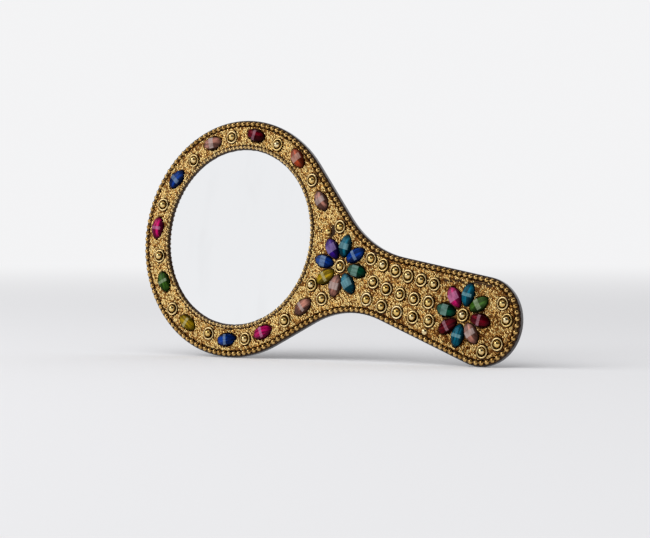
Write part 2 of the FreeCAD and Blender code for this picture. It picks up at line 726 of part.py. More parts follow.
def make_front(slab):
    """Everything that is pressed into the lac, and the lac with its sockets."""
    lac_y = fit("lac_y")
    neck_flower, handle_flower = flower_centres()
    stones = {}
    for number, (angle, step, turn) in enumerate(RING_STONES, start=1):
        stones[f"ring_stone_{number}"] = (ring_place(angle, step), angle + 90 + turn)
    for name, flower in (("neck", neck_flower), ("handle", handle_flower)):
        for number, petal in enumerate(petal_places(flower), start=1):
            stones[f"{name}_petal_{number}"] = petal
    shoulder, _, lower_edge, _ = outline_runs(fit("ledge_width"))
    shoulder_stud = wall_place(shoulder, size("shoulder_stud_run"), size("stud_radius"))
    rows = row_places(neck_flower, handle_flower)
    studs = {
        "ring_stud": [ring_place(angle, step) for angle, step in RING_STUDS],
        "neck_stud": [shoulder_stud] + [neck_place(neck_flower, angle) for angle in NECK_STUDS],
        "flower_stud": [neck_flower, handle_flower],
        "row_stud": rows,
        "end_stud": end_places(),
    }
    lone = neck_place(neck_flower, LONE_BALL)
    loose = loose_place(lower_edge, rows[-1])
    bare_y = lac_y + size("bare_sink") - size("stud_ball") / 2
    bare = [place(point, bare_y) for point in (lone, loose)]

    pieces = [make_stone(label, place(point, lac_y, angle)) for label, (point, angle) in stones.items()]
    for label, points in studs.items():
        pieces += make_studs(label, points)
    pieces.append(make_group("bare_balls", copies(ball_pattern, bare)))

    cups = [place(point, lac_y + size("stud_sink")) for points in studs.values() for point in points]
    beds = [place(point, lac_y + size("stone_sink"), angle) for point, angle in stones.values()]
    sockets = make_group("sockets", socket_cutters(beds, cups, bare))
    lac = doc.addObject("Part::Cut", "lac_front")
    lac.Label = "lac_front"
    lac.Base = slab
    lac.Tool = sockets
    return [lac] + pieces


subparts = [make_shell(), make_board(), make_bedding(), make_glass()]
subparts += make_rim_chain() + make_glass_chain() + make_front(make_lac_slab())
doc.recompute()

for thing in doc.Objects:
    if {"Invalid", "Error"} & set(thing.State):
        raise RuntimeError(f"{thing.Label} failed to build")
for subpart in subparts:
    if subpart.Shape.isNull() or not subpart.Shape.isValid():
        raise RuntimeError(f"{subpart.Label} has no valid shape")

os.makedirs("parts", exist_ok=True)
for subpart in subparts:
    subpart.Shape.exportStep(f"parts/{subpart.Label}.step")
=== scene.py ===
"""Looks of a lacquered hand mirror: a gold lac bed that holds a round glass, ball chains, studs and stones.

Metres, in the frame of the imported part: X from the head to the handle end, Z up, the glass facing -Y.
"""
import json
import math

import bmesh
import bpy
import numpy as np
from bpy.props import FloatProperty, FloatVectorProperty, IntProperty, PointerProperty
from mathutils import Matrix, Quaternion, Vector, noise
from mathutils.bvhtree import BVHTree


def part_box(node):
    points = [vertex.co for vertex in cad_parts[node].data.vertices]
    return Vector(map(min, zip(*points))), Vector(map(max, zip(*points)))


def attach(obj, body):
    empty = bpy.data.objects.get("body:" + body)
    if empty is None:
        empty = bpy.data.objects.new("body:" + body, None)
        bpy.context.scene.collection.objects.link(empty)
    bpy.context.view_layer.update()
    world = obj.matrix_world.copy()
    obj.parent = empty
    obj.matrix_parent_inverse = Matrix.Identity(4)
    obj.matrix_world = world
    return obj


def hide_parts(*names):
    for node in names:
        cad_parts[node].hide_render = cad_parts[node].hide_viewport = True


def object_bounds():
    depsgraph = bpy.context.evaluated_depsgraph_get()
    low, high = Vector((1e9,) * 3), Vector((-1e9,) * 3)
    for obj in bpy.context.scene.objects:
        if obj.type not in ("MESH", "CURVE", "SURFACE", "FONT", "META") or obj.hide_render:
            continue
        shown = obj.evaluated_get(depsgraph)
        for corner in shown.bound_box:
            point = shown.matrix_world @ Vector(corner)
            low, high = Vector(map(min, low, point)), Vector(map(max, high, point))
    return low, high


bl_info = {
    "name": "Lacquered Hand Mirror",
    "version": (1, 0, 0),
    "blender": (4, 5, 0),
    "location": "3D View > Sidebar > Hand Mirror",
    "description": "Finishes a lacquered hand mirror round its packed parts",
    "category": "Object",
}

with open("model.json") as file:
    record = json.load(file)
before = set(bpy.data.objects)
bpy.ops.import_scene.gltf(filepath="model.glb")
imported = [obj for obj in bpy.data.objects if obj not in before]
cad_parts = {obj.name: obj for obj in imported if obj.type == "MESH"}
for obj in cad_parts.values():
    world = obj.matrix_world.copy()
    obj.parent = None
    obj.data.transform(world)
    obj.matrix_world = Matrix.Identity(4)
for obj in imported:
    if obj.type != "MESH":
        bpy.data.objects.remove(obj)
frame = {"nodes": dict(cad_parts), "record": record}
CAD_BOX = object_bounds()
NODES = frame["nodes"]
SLOTS = {row["node"]: row["material_slot"] for row in frame["record"]["subparts"]}
ROOT = "root"
SAME_PLACE = 1e-6

LAC_LOW, LAC_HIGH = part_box("lac_front")
LAC_TOP = LAC_LOW.y
GLASS_LOW, GLASS_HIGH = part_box("mirror_glass")
GLASS_CENTRE = (GLASS_LOW + GLASS_HIGH) / 2
GLASS_RADIUS = (GLASS_HIGH.x - GLASS_LOW.x) / 2
STUDS = ("ring", "neck", "flower", "row", "end")
STONES = [node for node in sorted(NODES) if SLOTS[node].startswith("stone_")]


# Settings that a user would change
def length(name, description, default):
    return FloatProperty(
        name=name, description=description, default=default, min=0, precision=6, unit="LENGTH")


def colour(name, description, default):
    return FloatVectorProperty(
        name=name, description=description, default=default, size=3, min=0, max=1, subtype="COLOR")


def degrees(name, description, default):
    return FloatProperty(
        name=name, description=description, default=math.radians(default), subtype="ANGLE")


def spot(name, description, default):
    return FloatVectorProperty(
        name=name, description=description, default=default, subtype="TRANSLATION")


def seed_of(what, default):
    return IntProperty(name="Seed", description=f"Seed of {what}", default=default)


class BedSettings(bpy.types.PropertyGroup):
    """Gold lac and the glitter on it."""
    cell: length("Cell", "Cell size of the bed's mesh", 0.0005)
    lump: length("Lumps", "Height of the lumps in the lac", 0.0003)
    collar: length("Collar", "Lac pressed up round a stone or a stud", 0.00025)
    # The moat is also painted darker: painted shade beside a stone or a stud.
    moat: length("Moat", "Depth of the dark gap beside a stone or a stud", 0.0004)
    fill: length("Fill", "Lac squeezed up between the balls along the edge", 0.0008)
    grain: length("Grain", "Half size of a large glitter grain", 0.0009)
    clear: length("Clear", "How far the grains stay from the middle of a ball without a cup", 0.0023)
    per_square_mm: FloatProperty(
        name="Grains", description="Grains on a square millimetre", default=1.7, min=0)
    seed: seed_of("the grains", 11)
    pale: colour("Pale gold", "Brightest grains", (1.0, 0.74, 0.31))
    gold: colour("Gold", "Most of the grains", (0.88, 0.51, 0.14))
    # Brown is a tone of the grains, and also the painted shade in the crevices and towards the handle end.
    brown: colour("Brown", "Grains and lac in the crevices", (0.19, 0.068, 0.012))
    # Painted shade in the gaps, deep in the lac and beside what is set in it.
    dirt: colour("Painted shade", "Lac in the gaps", (0.06, 0.022, 0.005))
    old: colour("Old lac", "Lac where the gold is gone", (0.05, 0.022, 0.007))


class BeadSettings(bpy.types.PropertyGroup):
    """Ball chains round the edge and round the glass."""
    spread: FloatProperty(
        name="Spread", description="How much smaller the smallest ball is", default=0.06, min=0, max=1,
        subtype="FACTOR")
    seed: seed_of("the ball sizes", 5)
    brass: colour("Brass", "Balls round the glass", (0.86, 0.62, 0.28))
    tarnish: colour("Tarnish", "Duller balls round the glass", (0.58, 0.34, 0.10))
    rim_brass: colour("Rim brass", "Balls along the edge", (0.70, 0.45, 0.16))
    rim_tarnish: colour("Rim tarnish", "Duller balls along the edge", (0.45, 0.24, 0.055))
    # Painted shade on the back of each ball and on the seal round the glass.
    dirt: colour("Painted shade", "Deep between the balls", (0.11, 0.042, 0.008))


class StudSettings(bpy.types.PropertyGroup):
    """Brass cups, each with a ball."""
    lip: length("Lip", "Width of the bright lip", 0.00058)
    ball_radius: length("Ball", "Radius of a ball in a cup", 0.0015)
    off_centre: length("Off centre", "How far a ball may sit from the middle of its cup", 0.00022)
    tilt: degrees("Tilt", "How far a cup may lean", 4)
    seed: seed_of("the leans", 3)
    brass: colour("Brass", "Cleanest lips and balls", (0.97, 0.81, 0.49))
    olive: colour("Olive", "Dullest lips", (0.68, 0.46, 0.14))
    # The dish colour is painted shade inside the cups.
    dish: colour("Dish", "Inside of the cups", (0.34, 0.21, 0.06))
    ball: colour("Ball", "Most of the balls", (0.88, 0.62, 0.21))
    # Painted shade at the bottom of the cups, round their feet and on the back of each ball.
    dirt: colour("Painted shade", "Bottom of the cups", (0.03, 0.016, 0.006))


class StoneSettings(bpy.types.PropertyGroup):
    """Cut stones."""
    band: length("Band", "Length of the flat band across a stone", 0.0022)
    stone_pale: colour("Pale", "Pale rose and brown stones", (0.26, 0.110, 0.080))
    stone_orange: colour("Orange", "Orange stones", (0.25, 0.036, 0.011))
    stone_wine: colour("Wine", "Dark red stones", (0.070, 0.0005, 0.004))
    stone_blue: colour("Blue", "Blue stones", (0.001, 0.021, 0.15))
    stone_magenta: colour("Magenta", "Magenta stones", (0.31, 0.003, 0.07))
    stone_green: colour("Green", "Green stones", (0.024, 0.072, 0.006))
    stone_olive: colour("Olive", "Yellow-green stones", (0.23, 0.145, 0.003))
    stone_violet: colour("Violet", "Violet stones", (0.017, 0.002, 0.115))
    stone_teal: colour("Teal", "Blue-green stones", (0.001, 0.070, 0.11))
    stone_dark_green: colour("Dark green", "Dark green stones", (0.001, 0.038, 0.018))


class ShellSettings(bpy.types.PropertyGroup):
    """Lacquer on edge and back, and the board in it."""
    lacquer: colour("Lacquer", "Dark lacquer", (0.014, 0.007, 0.005))
    worn: colour("Worn", "Lacquer worn thin", (0.075, 0.027, 0.011))
    dust: colour("Dust", "Specks of dust", (0.30, 0.27, 0.24))
    board: colour("Board", "Board in the shell", (0.17, 0.085, 0.034))


class GlassSettings(bpy.types.PropertyGroup):
    """Mirror glass."""
    silver: colour("Silver", "Silvered glass", (0.93, 0.94, 0.95))
    bedding: colour("Bedding", "Adhesive below the glass", (0.09, 0.055, 0.028))


class StageSettings(bpy.types.PropertyGroup):
    """Floor, light and camera."""
    lean: degrees("Lean", "How far the mirror leans back from upright", 7.04)
    floor: colour("Floor", "Pale floor", (0.84, 0.84, 0.85))
    backdrop: colour("Backdrop", "Pale room, as seen", (0.90, 0.90, 0.91))
    room: colour("Room light", "Light of the room on the mirror and the floor", (0.64, 0.64, 0.65))
    card: colour("Card", "Dark cards that shape the reflections", (0.035, 0.033, 0.033))
    camera_place: spot("Camera", "Where the camera stands", (0.74517, -1.03441, -0.05603))
    camera_aim: spot("Aim", "What the camera looks at", (-0.00103, 0.00121, 0.03924))
    camera_roll: degrees("Roll", "Turn about the line of sight", 4.04)
    lens: FloatProperty(
        name="Lens", description="Focal length in millimetres", default=166.15, unit="CAMERA")


# Node trees
class Field:
    """A socket of a node tree. Sums written on it add Math nodes."""

    def __init__(self, nodes, socket):
        self.nodes = nodes
        self.socket = socket

    def math(self, operation, first, second):
        return self.nodes.field("ShaderNodeMath", {0: first, 1: second}, operation=operation)

    def __add__(self, other):
        return self.math("ADD", self, other)

    def __radd__(self, other):
        return self.math("ADD", other, self)

    def __sub__(self, other):
        return self.math("SUBTRACT", self, other)

    def __rsub__(self, other):
        return self.math("SUBTRACT", other, self)

    def __mul__(self, other):
        return self.math("MULTIPLY", self, other)

    def __rmul__(self, other):
        return self.math("MULTIPLY", other, self)

    def __or__(self, other):
        return self.math("MAXIMUM", self, other)

    def __ror__(self, other):
        return self.math("MAXIMUM", other, self)


def pick(sockets, key):
    """A socket by identifier, name or number."""
    known = {socket.identifier: socket for socket in sockets}
    return known[key] if key in known else sockets[key]


class Nodes:
    """Adds nodes to a tree and links them."""

    def __init__(self, tree):
        self.tree = tree

    def add(self, kind, sockets=None, **settings):
        """A node of a kind: its settings are set first, then the values or links of its sockets."""
        node = self.tree.nodes.new(kind)
        for name, value in settings.items():
            if name == "stops":
                self.set_stops(node.color_ramp, value)
            else:
                setattr(node, name, value)
        for key, value in (sockets or {}).items():
            socket = pick(node.inputs, key)
            if isinstance(value, Field):
                self.tree.links.new(value.socket, socket)
            elif socket.type == "RGBA":
                socket.default_value = (*value[:3], 1)
            else:
                socket.default_value = value
        return node

    def set_stops(self, ramp, stops):
        while len(ramp.elements) < len(stops):
            ramp.elements.new(1)
        for element, (position, value) in zip(ramp.elements, stops):
            element.position = position
            element.color = (*value, 1)

    def field(self, kind, sockets=None, output=0, **settings):
        """One output of a new node."""
        return Field(self, pick(self.add(kind, sockets, **settings).outputs, output))

    def step(self, value, low, high):
        """From 0 at low to 1 at high, with soft ends."""
        sockets = {"Value": value, "From Min": low, "From Max": high}
        return self.field("ShaderNodeMapRange", sockets, "Result", interpolation_type="SMOOTHSTEP")

    def mix(self, amount, first, second):
        sockets = {"Factor_Float": amount, "A_Color": first, "B_Color": second}
        return self.field("ShaderNodeMix", sockets, "Result_Color", data_type="RGBA")


class Finish(Nodes):
    """A material with one Principled shader, and patterns on Object coordinates that feed it."""

    def __init__(self, name, constants):
        self.material = bpy.data.materials.new(name)
        self.material.use_nodes = True
        super().__init__(self.material.node_tree)
        self.tree.nodes.clear()
        self.shader = self.add("ShaderNodeBsdfPrincipled", constants)
        self.output = self.add("ShaderNodeOutputMaterial")
        self.plain = Field(self, self.shader.outputs[0])
        self.show(self.plain)
        self.place = self.field("ShaderNodeTexCoord", output="Object")

    def show(self, surface):
        self.tree.links.new(surface.socket, self.output.inputs["Surface"])

    def feed(self, name, value):
        self.tree.links.new(value.socket, self.shader.inputs[name])

    def tint(self, amount, first, second):
        """Colour the surface from one colour to another."""
        self.feed("Base Color", self.mix(amount, first, second))

    def axis(self, name):
        return self.field("ShaderNodeSeparateXYZ", {"Vector": self.place}, name)

    def attribute(self, name):
        return self.field("ShaderNodeAttribute", output="Fac", attribute_name=name)

    def stretched(self, scale):
        return self.field("ShaderNodeVectorMath", {0: self.place, 1: scale}, operation="MULTIPLY")

    def noise(self, size, detail=2, place=None):
        """Soft cloud from 0 to 1, with lumps of a size in metres."""
        sockets = {"Vector": place or self.place, "Scale": 1 / size, "Detail": detail}
        return self.field("ShaderNodeTexNoise", sockets)

    def cells(self, size, output="Distance"):
        """Crumbs of a size in metres: how far from the middle of each, or a colour of its own."""
        sockets = {"Vector": self.place, "Scale": 1 / size}
        return self.field("ShaderNodeTexVoronoi", sockets, output)

    def ramp(self, value, stops):
        return self.field("ShaderNodeValToRGB", {"Fac": value}, "Color", stops=stops)

    def bump(self, height, distance, strength):
        sockets = {"Height": height, "Distance": distance, "Strength": strength}
        self.feed("Normal", self.field("ShaderNodeBump", sockets, "Normal"))


def shade(body, amount):
    """A colour made darker or brighter."""
    return [min(amount * part, 1) for part in body]


class Recipe(Nodes):
    """A Geometry Nodes tree with named inputs."""

    def __init__(self, name, seed):
        tree = bpy.data.node_groups.new(name, "GeometryNodeTree")
        super().__init__(tree)
        tree.interface.new_socket("Geometry", in_out="INPUT", socket_type="NodeSocketGeometry")
        tree.interface.new_socket("Geometry", in_out="OUTPUT", socket_type="NodeSocketGeometry")
        self.inputs = self.add("NodeGroupInput")
        self.values = {}
        self.geometry = Field(self, self.inputs.outputs[0])
        self.seed = self.input("Seed", "Int", seed)

    def input(self, name, kind, value):
        socket = self.tree.interface.new_socket(name, in_out="INPUT", socket_type=f"NodeSocket{kind}")
        self.values[socket.identifier] = value
        return Field(self, pick(self.inputs.outputs, socket.identifier))

    def random(self, low, high, draw):
        """A random number or vector for every point. The draw's own number is added to the seed."""
        kind, end = ("FLOAT_VECTOR", "") if isinstance(low, tuple) else ("FLOAT", "_001")
        sockets = {f"Min{end}": low, f"Max{end}": high, "Seed": self.seed + draw}
        return self.field("FunctionNodeRandomValue", sockets, f"Value{end}", data_type=kind)

    def scaled(self, vector, amount):
        return self.field("ShaderNodeVectorMath", {0: vector, "Scale": amount}, operation="SCALE")

    def finish(self, sockets, attribute, material):
        """Put a shape on every point with a random number of its own, all as one mesh of one material."""
        instances = self.field("GeometryNodeInstanceOnPoints", sockets)
        number = {"Geometry": instances, "Name": attribute, "Value": self.random(0.0, 1.0, 2)}
        named = self.field(
            "GeometryNodeStoreNamedAttribute", number, data_type="FLOAT", domain="INSTANCE")
        whole = self.field("GeometryNodeRealizeInstances", {"Geometry": named})
        shown = self.field("GeometryNodeSetMaterial", {"Geometry": whole, "Material": material})
        self.add("NodeGroupOutput", {0: shown})

    def run(self, name, mesh):
        """What the tree makes of a mesh, as a plain object."""
        piece = new_object(name, mesh)
        modifier = piece.modifiers.new(name, "NODES")
        modifier.node_group = self.tree
        for identifier, value in self.values.items():
            modifier[identifier] = value
        return made_plain(piece)


# Meshes
def new_object(name, data):
    piece = bpy.data.objects.new(name, data)
    bpy.context.scene.collection.objects.link(piece)
    return piece


def made_plain(piece):
    """Turn what the modifiers make into the object's own mesh."""
    graph = bpy.context.evaluated_depsgraph_get()
    made = piece.evaluated_get(graph)
    mesh = bpy.data.meshes.new_from_object(made, preserve_all_data_layers=True, depsgraph=graph)
    if not mesh.polygons:
        raise RuntimeError(f"{piece.name} came out empty")
    piece.modifiers.clear()
    piece.data = mesh
    mesh.name = piece.name
    return piece


def settle(piece, slot, *nodes):
    """Let a finished piece ride on the mirror in place of some CAD nodes."""
    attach(piece, ROOT)
    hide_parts(*nodes)


def paint(piece, material):
    """Give a piece, or a CAD node that stays, its finish."""
    piece.data.materials.clear()
    piece.data.materials.append(material)


def merged(node):
    """A CAD node's mesh with its loose triangles joined."""
    mesh = bmesh.new()
    mesh.from_mesh(NODES[node].data)
    bmesh.ops.remove_doubles(mesh, verts=mesh.verts, dist=SAME_PLACE)
    return mesh


def solids(node):
    """Lowest and highest corner of each separate solid of a CAD node."""
    mesh = merged(node)
    mesh.verts.index_update()
    mesh.verts.ensure_lookup_table()
    seen = np.zeros(len(mesh.verts), bool)
    found = []
    for start in mesh.verts:
        if seen[start.index]:
            continue
        seen[start.index] = True
        waiting = [start]
        points = []
        while waiting:
            vert = waiting.pop()
            points.append(vert.co[:])
            for edge in vert.link_edges:
                other = edge.other_vert(vert)
                if not seen[other.index]:
                    seen[other.index] = True
                    waiting.append(other)
        found.append((np.min(points, 0), np.max(points, 0)))
    mesh.free()
    return found


def middles(node):
    """Middle of each separate solid of a CAD node."""
    return [(low + high) / 2 for low, high in solids(node)]


def kept_mesh(name, shape):
    """The mesh of a bmesh that has served."""
    mesh = bpy.data.meshes.new(name)
    shape.to_mesh(mesh)
    shape.free()
    return mesh


def smooth_mesh(name, shape):
    """A bmesh as a smooth mesh whose faces point outwards."""
    bmesh.ops.recalc_face_normals(shape, faces=shape.faces)
    for face in shape.faces:
        face.smooth = True
    return kept_mesh(name, shape)


def point_mesh(name, points):
    mesh = bpy.data.meshes.new(name)
    mesh.from_pydata([tuple(point) for point in points], [], [])
    return mesh


def turned_mesh(name, profile, steps):
    """A closed solid turned about Y, from a profile of radius and Y that starts and ends on the axis."""
    mesh = bmesh.new()
    angles = [math.tau * step / steps for step in range(steps)]
    rings = []
    for radius, y in profile:
        if radius < SAME_PLACE:
            rings.append([mesh.verts.new((0, y, 0))])
            continue
        rings.append([mesh.verts.new((radius * math.cos(a), y, radius * math.sin(a))) for a in angles])
    for first, second in zip(rings, rings[1:]):
        for step in range(steps):
            after = (step + 1) % steps
            corners = [first[step % len(first)], first[after % len(first)],
                       second[after % len(second)], second[step % len(second)]]
            mesh.faces.new(list(dict.fromkeys(corners)))
    return smooth_mesh(name, mesh)


# Lac bed and glitter
def pressed_tree():
    """Search tree of everything that is pressed into the lac."""
    corners = []
    faces = []
    cups = [f"{stud}_stud_cups" for stud in STUDS]
    for node in STONES + cups + ["bare_balls", "rim_chain_balls", "glass_chain_balls"]:
        mesh = NODES[node].data
        first = len(corners)
        corners += [vertex.co[:] for vertex in mesh.vertices]
        faces += [[first + index for index in polygon.vertices] for polygon in mesh.polygons]
    return BVHTree.FromPolygons(corners, faces)


# Flaws, as seen: a line of points in X and Z, and how wide the old lac shows beside it
FLAW_REACH = 1.6
FLAWS = (
    (((-0.0045, 0.0560), (-0.0030, 0.0552)), 0.0007),
    (((0.0032, 0.0572), (0.0036, 0.0552), (0.0026, 0.0535)), 0.0011),
    (((0.062, 0.0352), (0.068, 0.0352), (0.073, 0.0338), (0.078, 0.0345), (0.085, 0.0330)), 0.0006),
)


def flaw_at(x, z):
    """How bare the lac is at a place, from 0 to 1."""
    bare = np.zeros(len(x))
    for line, width in FLAWS:
        for start, end in zip(line, line[1:]):
            step = np.subtract(end, start)
            along = ((x - start[0]) * step[0] + (z - start[1]) * step[1]) / (step @ step)
            along = np.clip(along, 0, 1)
            gap = np.hypot(x - start[0] - along * step[0], z - start[1] - along * step[1])
            bare = np.maximum(bare, np.clip(FLAW_REACH - gap / width, 0, 1))
    return bare


def point_vectors(mesh, name):
    """Places or normals of a mesh's points, a row for each."""
    values = np.zeros(len(mesh.vertices) * 3)
    mesh.vertices.foreach_get(name, values)
    return values.reshape(-1, 3)


def put_attribute(mesh, name, values):
    attribute = mesh.attributes.new(name, "FLOAT", "POINT")
    attribute.data.foreach_set("value", values.astype(np.float32))


def bed_cells(look):
    """The lac as a mesh of even cells."""
    bed = new_object("gold_bed", kept_mesh("gold_bed", merged("lac_front")))
    remesh = bed.modifiers.new("cells", "REMESH")
    remesh.mode = "VOXEL"
    remesh.voxel_size = look.cell
    remesh.use_smooth_shade = True
    return made_plain(bed)


# Relief of the bed: sizes of its lumps, and reach of what lies beside a stone or a stud
FORWARD_Y = -0.5
COARSE_LUMP, FINE_LUMP, FINE_SHARE = 0.0019, 0.001, 0.6
HEIGHT_MIDDLE, HEIGHT_GAIN = 0.5, 0.7
FACE_DEPTH, FACE_FADE = 0.0006, 0.0004
COLLAR_GAP, COLLAR_WIDTH = 0.0007, 0.0004
MOAT_WIDTH = 0.00035
# How far the painted shade beside a stone or a stud reaches.
SHADE_REACH = 0.001
CHANNEL_DEPTH, CHANNEL_UNEVEN = 0.0013, 0.3
COVER_GAP, COVER_FADE, COVER_FACE = 0.0004, 0.0003, 0.4
FLAW_LOSS = 0.85


def make_bed(look):
    """The lac as a lumpy mesh, pressed up round what is set in it, with the values that place its painted
    light and shade, its flaws and its cover of glitter.
    """
    bed = bed_cells(look)
    mesh = bed.data
    points = point_vectors(mesh, "co")
    forward = point_vectors(mesh, "normal")[:, 1] < FORWARD_Y
    tree = pressed_tree()
    gap = np.array([tree.find_nearest(Vector(point))[3] for point in points])
    coarse = np.array([noise.noise(Vector(point) / COARSE_LUMP) for point in points])
    fine = np.array([noise.noise(Vector(point) / FINE_LUMP) for point in points])
    height = coarse + FINE_SHARE * fine
    bare = flaw_at(points[:, 0], points[:, 2])
    face = np.clip((LAC_TOP + FACE_DEPTH - points[:, 1]) / FACE_FADE, 0, 1)
    collar = look.collar * np.exp(-((gap - COLLAR_GAP) / COLLAR_WIDTH) ** 2)
    moat = look.moat * np.clip(1 - gap / MOAT_WIDTH, 0, 1)
    raised = collar - moat + look.lump * height - look.moat * bare
    channel = forward & (points[:, 1] > LAC_TOP + CHANNEL_DEPTH)
    points[:, 1] -= face * raised + channel * look.fill * (1 + CHANNEL_UNEVEN * height)
    mesh.vertices.foreach_set("co", points.ravel())
    mesh.update()
    put_attribute(mesh, "near", np.clip(gap / SHADE_REACH, 0, 1))
    put_attribute(mesh, "bare", bare)
    put_attribute(mesh, "height", np.clip(HEIGHT_MIDDLE + HEIGHT_GAIN * height, 0, 1))
    loose = [np.hypot(points[:, 0] - x, points[:, 2] - z) for x, _, z in middles("bare_balls")]
    cover = np.clip((gap - COVER_GAP) / COVER_FADE, 0, 1) * (1 - FLAW_LOSS * bare)
    put_attribute(mesh, "cover", cover * (face > COVER_FACE) * (np.min(loose, 0) > look.clear))
    return bed


# Along Y, where painted shade in the lac begins and where it covers all. Along X, the same for painted
# shade towards the handle end of the glitter
LAC_SHADE = (LAC_TOP + 0.0003, LAC_TOP + 0.0009)
HANDLE_END_SHADE = (0.01, 0.085)
LAC_GRAIN = 0.0006


def lac_finish(look):
    """Gold lac: crushed grains, brown painted shade in the crevices between them, painted shade low down,
    in its hollows and beside what is set in it, and painted light on its lumps.
    """
    finish = Finish("gold_lac", {"Specular IOR Level": 0.4})
    grain = finish.cells(LAC_GRAIN)
    tone = finish.cells(LAC_GRAIN, "Color")
    patch = finish.noise(0.007, 3)
    # Painted shade: darker deeper into the lac and beside what is set in it.
    low = finish.step(finish.axis("Y"), *LAC_SHADE)
    beside = 1 - finish.step(finish.attribute("near"), 0.12, 0.5)
    bare = finish.attribute("bare")
    value = finish.field("ShaderNodeSeparateColor", {"Color": tone}, "Red")
    # Painted light and shade: the lac paler on its lumps and browner in the hollows between them.
    value = value * 0.4 + patch * 0.3 + finish.attribute("height") * 0.5
    gold = finish.ramp(value, ((0.5, look.brown), (0.95, look.gold), (1.0, look.pale)))
    # Painted shade in the crevices between the crumbs.
    crevice_shade = finish.step(grain, 0.45, 0.75)
    gold = finish.mix(crevice_shade, gold, look.brown)
    gold = finish.mix(bare, gold, look.old)
    # Painted shade mask: the lac darker and less metallic there.
    painted_shade_mask = low | beside
    finish.tint(painted_shade_mask, gold, look.dirt)
    finish.feed("Metallic", 0.9 - (painted_shade_mask | bare) * 0.6)
    finish.feed("Roughness", 0.32 + patch * 0.25 + bare * 0.3)
    finish.bump(grain, distance=0.0003, strength=0.8)
    return finish.material


def glitter_finish(look):
    """Crushed metallic grains, each with a tone of its own, paler on the lumps as painted light, darker
    beside what is set in the lac as painted shade, and browner and duller on the handle as painted shade.
    """
    finish = Finish("glitter", {"Metallic": 1.0})
    grain = finish.attribute("grain")
    patch = finish.noise(0.0032, 3)
    # Painted shade: grains beside a stone or a stud darker.
    beside = 1 - finish.step(finish.attribute("near"), 0.2, 0.75)
    # Painted shade: grains darker and browner towards the handle end.
    handle_end_shade = finish.step(finish.axis("X"), *HANDLE_END_SHADE)
    # Painted light: grains on the lumps paler.
    value = grain * 0.35 + patch * 0.45 + finish.attribute("height") * 0.55 - beside * 0.25
    value = value + handle_end_shade * (value * 0.9 - 0.72)
    stops = ((0.22, look.brown), (0.4, look.gold), (0.6, look.pale))
    finish.tint(handle_end_shade * 0.12, finish.ramp(value, stops), look.brown)
    finish.feed("Roughness", 0.14 + patch * 0.16)
    return finish.material


GRAIN_SMALL, GRAIN_LARGE = (0.35, 0.35, 0.14), (1.0, 1.0, 0.34)
GRAIN_LEAN = math.radians(15)
SQUARE_MM = 1e-6


def make_glitter(look, name, bed, low, high, material):
    """Grains on the part of the bed between two places along X."""
    recipe = Recipe("glitter_grains", look.seed)
    size = recipe.input("Grain", "Float", look.grain)
    density = recipe.input("Density", "Float", look.per_square_mm / SQUARE_MM)
    start = recipe.input("From X", "Float", low)
    end = recipe.input("To X", "Float", high)
    position = recipe.field("GeometryNodeInputPosition")
    x = recipe.field("ShaderNodeSeparateXYZ", {"Vector": position}, "X")
    after = recipe.field("FunctionNodeCompare", {"A": x, "B": start}, operation="GREATER_EQUAL")
    before = recipe.field("FunctionNodeCompare", {"A": x, "B": end}, operation="LESS_THAN")
    cover = recipe.field("GeometryNodeInputNamedAttribute", {"Name": "cover"}, data_type="FLOAT")
    spots = {"Mesh": recipe.geometry, "Density": density * cover * after * before, "Seed": recipe.seed}
    spread = recipe.add("GeometryNodeDistributePointsOnFaces", spots)
    points = Field(recipe, spread.outputs["Points"])
    upright = Field(recipe, spread.outputs["Rotation"])
    ball = recipe.field("GeometryNodeMeshIcoSphere", {"Subdivisions": 1, "Radius": 1.0}, "Mesh")
    crumb = recipe.field("GeometryNodeSetShadeSmooth", {"Geometry": ball})
    scale = recipe.random(GRAIN_SMALL, GRAIN_LARGE, 0)
    least, most = (-GRAIN_LEAN, -GRAIN_LEAN, 0), (GRAIN_LEAN, GRAIN_LEAN, math.tau)
    turned = {"Rotation": upright, "Rotate By": recipe.random(least, most, 1)}
    turn = recipe.field("FunctionNodeRotateRotation", turned, rotation_space="LOCAL")
    sockets = {"Points": points, "Instance": crumb, "Rotation": turn, "Scale": recipe.scaled(scale, size)}
    recipe.finish(sockets, "grain", material)
    return recipe.run(name, bed.data.copy())


class HANDMIRROR_OT_bed(bpy.types.Operator):
    """Make the gold lac bed and the glitter on it"""
    bl_idname = "hand_mirror.bed"
    bl_label = "Gold Bed"

    def execute(self, context):
        look = context.scene.hand_mirror_bed
        bed = make_bed(look)
        paint(bed, lac_finish(look))
        settle(bed, "gold_lac", "lac_front")
        material = glitter_finish(look)
        neck = GLASS_HIGH.x
        spans = {"glitter_head": (LAC_LOW.x, neck), "glitter_handle": (neck, LAC_HIGH.x)}
        for name, (start, end) in spans.items():
            settle(make_glitter(look, name, bed, start, end, material), "gold_lac")
        return {"FINISHED"}


# Ball chains
def brass_finish(name, brass, tarnish, dirt, shade_span, attribute, rough):
    """Polished brass, tarnished from one ball to the next, with painted shade on its back between two
    places along Y.
    """
    finish = Finish(name, {"Metallic": 1.0})
    front, back = shade_span
    each = finish.attribute(attribute)
    smudge = finish.noise(0.0011, 3)
    clean = finish.mix(finish.step(each * 0.5 + smudge * 0.5, 0.4, 0.9), brass, tarnish)
    # Painted shade: each ball darker on its back, towards the lac.
    deep = finish.step(finish.axis("Y") + smudge * 0.35 * (back - front), front, back)
    finish.tint(deep, clean, dirt)
    finish.feed("Roughness", rough + smudge * 0.14 + deep * 0.2)
    finish.bump(finish.noise(0.0004), distance=0.00002, strength=0.5)
    return finish.material


BEAD_SEGMENTS, BEAD_RINGS = 8, 6
